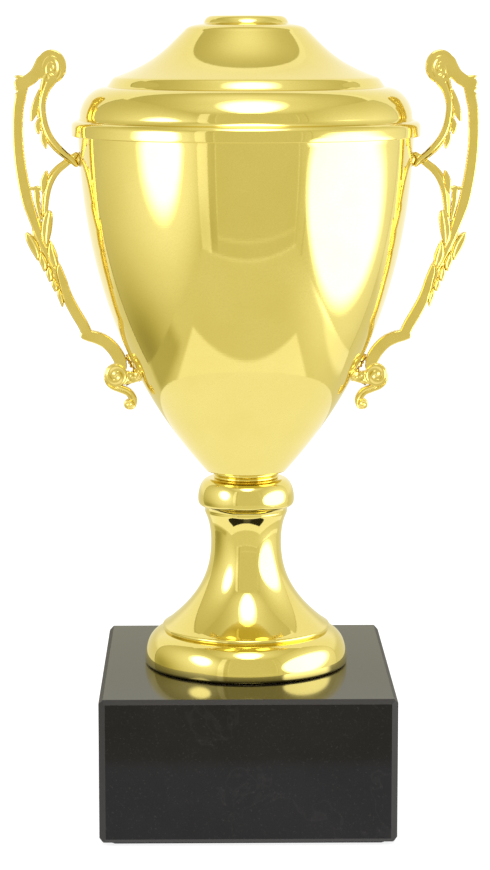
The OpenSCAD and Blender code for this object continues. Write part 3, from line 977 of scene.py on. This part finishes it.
def cloth(name, base, lobes):
    """Lit cloth: a base level and patches of other levels, warmer where it is darker.

    A patch is (centre, half sizes, level added, edge). With edge 0 it fades like a
    bell. Over 0 it is an ellipse and under 0 a box, and the number is the share of
    its size over which it ends.
    """
    mat = bpy.data.materials.new(name)
    mat.use_nodes = True
    n = Nodes(mat.node_tree)
    place = n.place()
    level = base
    for centre, sizes, amount, edge in lobes:
        move = n.add("ShaderNodeVectorMath", operation="SUBTRACT")
        n.plug(place, move.inputs[0])
        move.inputs[1].default_value = [v * MM for v in centre]
        scale = n.add("ShaderNodeVectorMath", operation="MULTIPLY")
        n.plug(move.outputs[0], scale.inputs[0])
        scale.inputs[1].default_value = [1 / (v * MM) for v in sizes]
        if edge == 0:
            square = n.add("ShaderNodeVectorMath", operation="DOT_PRODUCT")
            n.plug(scale.outputs[0], square.inputs[0])
            n.plug(scale.outputs[0], square.inputs[1])
            fall = n.math("EXPONENT", n.math("MULTIPLY", square.outputs["Value"], -1))
        elif edge > 0:
            size = n.add("ShaderNodeVectorMath", operation="LENGTH")
            n.plug(scale.outputs[0], size.inputs[0])
            fall = n.span(size.outputs["Value"], 1 - edge, 1 + edge, 1, 0, smooth=True)
        else:
            part = n.add("ShaderNodeSeparateXYZ")
            n.plug(scale.outputs[0], part.inputs[0])
            fall = 1.0
            for axis in range(3):
                side = n.math("ABSOLUTE", part.outputs[axis])
                fall = n.math("MULTIPLY", fall, n.span(side, 1 + edge, 1 - edge, 1, 0, smooth=True))
        level = n.math("ADD", level, n.math("MULTIPLY", fall, amount))
    warm = n.span(level, 0.4, 1.0)
    glow = n.add("ShaderNodeEmission")
    n.plug(n.mix(warm, WARM, WHITE), glow.inputs["Color"])
    n.plug(n.math("MULTIPLY", level, BRIGHT), glow.inputs["Strength"])
    out = n.add("ShaderNodeOutputMaterial")
    mat.node_tree.links.new(glow.outputs[0], out.inputs[0])
    return mat


def panel(name, corners, base, lobes):
    """One wall of the light tent: only reflections see it."""
    mesh = bpy.data.meshes.new(name)
    mesh.from_pydata([[v * MM for v in c] for c in corners], [], [(0, 1, 2, 3)])
    obj = bpy.data.objects.new(name, mesh)
    bpy.context.scene.collection.objects.link(obj)
    mesh.materials.append(cloth(name, base, lobes))
    reflected_only(obj)


def reflected_only(obj):
    """Stage piece that nothing but a reflection sees."""
    obj.visible_camera = False
    obj.visible_diffuse = False
    obj.visible_shadow = False
    obj.visible_transmission = False


def tent():
    """Six lit walls that give the metal its reflections, and the card under the bowl."""
    x0, x1, y0, y1, top = TENT_X0, TENT_X1, TENT_Y0, TENT_Y1, TENT_TOP
    panel("tent_left", [(x0, y0, 0), (x0, y1, 0), (x0, y1, top), (x0, y0, top)], 0.58, [
        ((x0, -220, 190), (WIDE, 230, 170), 0.55, 0),
        ((x0, -190, 215), (WIDE, 95, 85), 3.2, 0.25),
        ((x0, 60, 20), (WIDE, 110, 70), -0.28, 0),
        ((x0, y1, 200), (WIDE, 6, WIDE), -0.2, -0.4),
    ])
    panel("tent_right", [(x1, y0, 0), (x1, y1, 0), (x1, y1, top), (x1, y0, top)], 0.66, [
        ((x1, -60, 150), (WIDE, 220, 190), 0.45, 0),
        ((x1, -135, 135), (WIDE, 200, 115), 2.9, 0.16),
        ((x1, -341, 200), (WIDE, 4, WIDE), -0.12, -0.4),
        ((x1, y1, 200), (WIDE, 6, WIDE), -0.15, -0.4),
    ])
    panel("tent_back", [(x0, y1, 0), (x1, y1, 0), (x1, y1, top), (x0, y1, top)], 0.92, [
        ((0, y1, 0), (WIDE, WIDE, 110), -0.2, -0.2),
    ])
    panel("tent_top", [(x0, y0, top), (x1, y0, top), (x1, y1, top), (x0, y1, top)], 0.53, [
        ((15, -250, top), (230, 190, WIDE), 0.45, 0),
        ((15, -250, top), (95, 150, WIDE), 3.4, 0.25),
        ((0, -40, top), (100, 90, WIDE), 0.32, 0),
        ((220, 0, top), (120, 200, WIDE), 0.08, 0),
        ((0, y1, top), (WIDE, 38, WIDE), 0.4, -0.06),
    ])
    panel("tent_front", [(x0, y0, 0), (x1, y0, 0), (x1, y0, top), (x0, y0, top)], 0.95, [
        ((105, y0, 225), (294, WIDE, WIDE), -0.29, -0.015),
        ((-250, y0, 200), (60, WIDE, 100), 0.2, 0),
        ((-225, y0, 40), (50, WIDE, 60), -0.15, 0),
        ((-168, y0, 225), (20, WIDE, 215), -0.05, -0.15),
        ((-146, y0, 245), (2.5, WIDE, 205), 0.12, -0.4),
        ((262, y0, 245), (3, WIDE, 210), 0.16, -0.4),
        ((58, y0, 40), (204, WIDE, 2.5), 0.12, -0.03),
        ((45, y0, 1), (245, WIDE, 3), 0.25, -0.1),
    ])
    panel("tent_table", [(x0, y0, 0.3), (x1, y0, 0.3), (x1, y1, 0.3), (x0, y1, 0.3)], 0.72, [
        ((-10, 0, 0), (168, 157, WIDE), 0.26, -0.03),
        ((-250, 20, 0), (55, 110, WIDE), -0.24, -0.25),
        ((260, -100, 0), (90, 150, WIDE), 0.2, 0),
        ((300, 60, 0), (70, 190, WIDE), 0.25, 0.15),
        ((285, -120, 0), (14, 70, WIDE), 1.6, 0),
    ])
    card()


def card():
    """Pale ring under the bowl, so that the bowl reflects no stone; clear from below."""
    z = (bowl_z - 1.2) * MM
    inner, outer, segs = 14.2, 66, 64
    mesh = bpy.data.meshes.new("tent_card")
    verts = []
    for r in (inner * MM, outer * MM):
        for i in range(segs):
            a = 2 * math.pi * i / segs
            verts.append((r * math.cos(a), r * math.sin(a), z))
    faces = [(i, segs + i, segs + (i + 1) % segs, (i + 1) % segs) for i in range(segs)]
    mesh.from_pydata(verts, [], faces)
    obj = bpy.data.objects.new("tent_card", mesh)
    bpy.context.scene.collection.objects.link(obj)
    mat = bpy.data.materials.new("tent_card")
    mat.use_nodes = True
    n = Nodes(mat.node_tree)
    glow = n.add("ShaderNodeEmission")
    glow.inputs["Color"].default_value = WHITE
    glow.inputs["Strength"].default_value = CARD_LEVEL * BRIGHT
    clear = n.add("ShaderNodeBsdfTransparent")
    mixer = n.add("ShaderNodeMixShader")
    n.plug(n.add("ShaderNodeNewGeometry").outputs["Backfacing"], mixer.inputs[0])
    mat.node_tree.links.new(glow.outputs[0], mixer.inputs[1])
    mat.node_tree.links.new(clear.outputs[0], mixer.inputs[2])
    out = n.add("ShaderNodeOutputMaterial")
    mat.node_tree.links.new(mixer.outputs[0], out.inputs[0])
    mesh.materials.append(mat)
    reflected_only(obj)


def floor():
    """Plain pale floor, just under the felt."""
    s = FLOOR_HALF
    mesh = bpy.data.meshes.new("floor")
    mesh.from_pydata([(-s, -s, 0), (s, -s, 0), (s, s, 0), (-s, s, 0)], [], [(0, 1, 2, 3)])
    obj = bpy.data.objects.new("floor", mesh)
    bpy.context.scene.collection.objects.link(obj)
    mat, n, shader = material("floor_white", 0.0)
    shade = n.noise(n.place(), 3, 2)
    colour = n.mix(shade, (0.33, 0.33, 0.33, 1), (0.36, 0.36, 0.36, 1))
    n.plug(colour, shader.inputs["Base Color"])
    shader.inputs["Roughness"].default_value = 1.0
    shader.inputs["Specular IOR Level"].default_value = 0.0
    shader.inputs["Emission Color"].default_value = WHITE
    shader.inputs["Emission Strength"].default_value = FLOOR_GLOW
    mesh.materials.append(mat)
    obj.location.z = -FLOOR_DROP


def studio():
    """Even white light all round; the tent's walls are what the metal reflects."""
    world = bpy.data.worlds.new("studio")
    bpy.context.scene.world = world
    world.use_nodes = True
    n = Nodes(world.node_tree)
    back = n.add("ShaderNodeBackground")
    back.inputs["Strength"].default_value = BRIGHT
    back.inputs["Color"].default_value = WHITE
    out = n.add("ShaderNodeOutputWorld")
    world.node_tree.links.new(back.outputs[0], out.inputs[0])
    tent()


def camera():
    """Camera in front of the cup, a little above it."""
    data = bpy.data.cameras.new("camera")
    data.lens = CAMERA_LENS
    data.sensor_width = 36
    data.sensor_fit = "AUTO"
    data.clip_start = 0.05
    data.clip_end = 50
    obj = bpy.data.objects.new("camera", data)
    bpy.context.scene.collection.objects.link(obj)
    swing = Matrix.Rotation(CAMERA_TURN, 4, "Z")
    tilt = Matrix.Rotation(math.pi / 2 - CAMERA_DOWN, 4, "X")
    obj.matrix_world = Matrix.Translation(swing @ Vector(CAMERA_PLACE)) @ swing @ tilt
    bpy.context.scene.camera = obj


floor()
studio()
camera()
bpy.context.scene.view_settings.view_transform = "Standard"

bpy.context.view_layer.update()
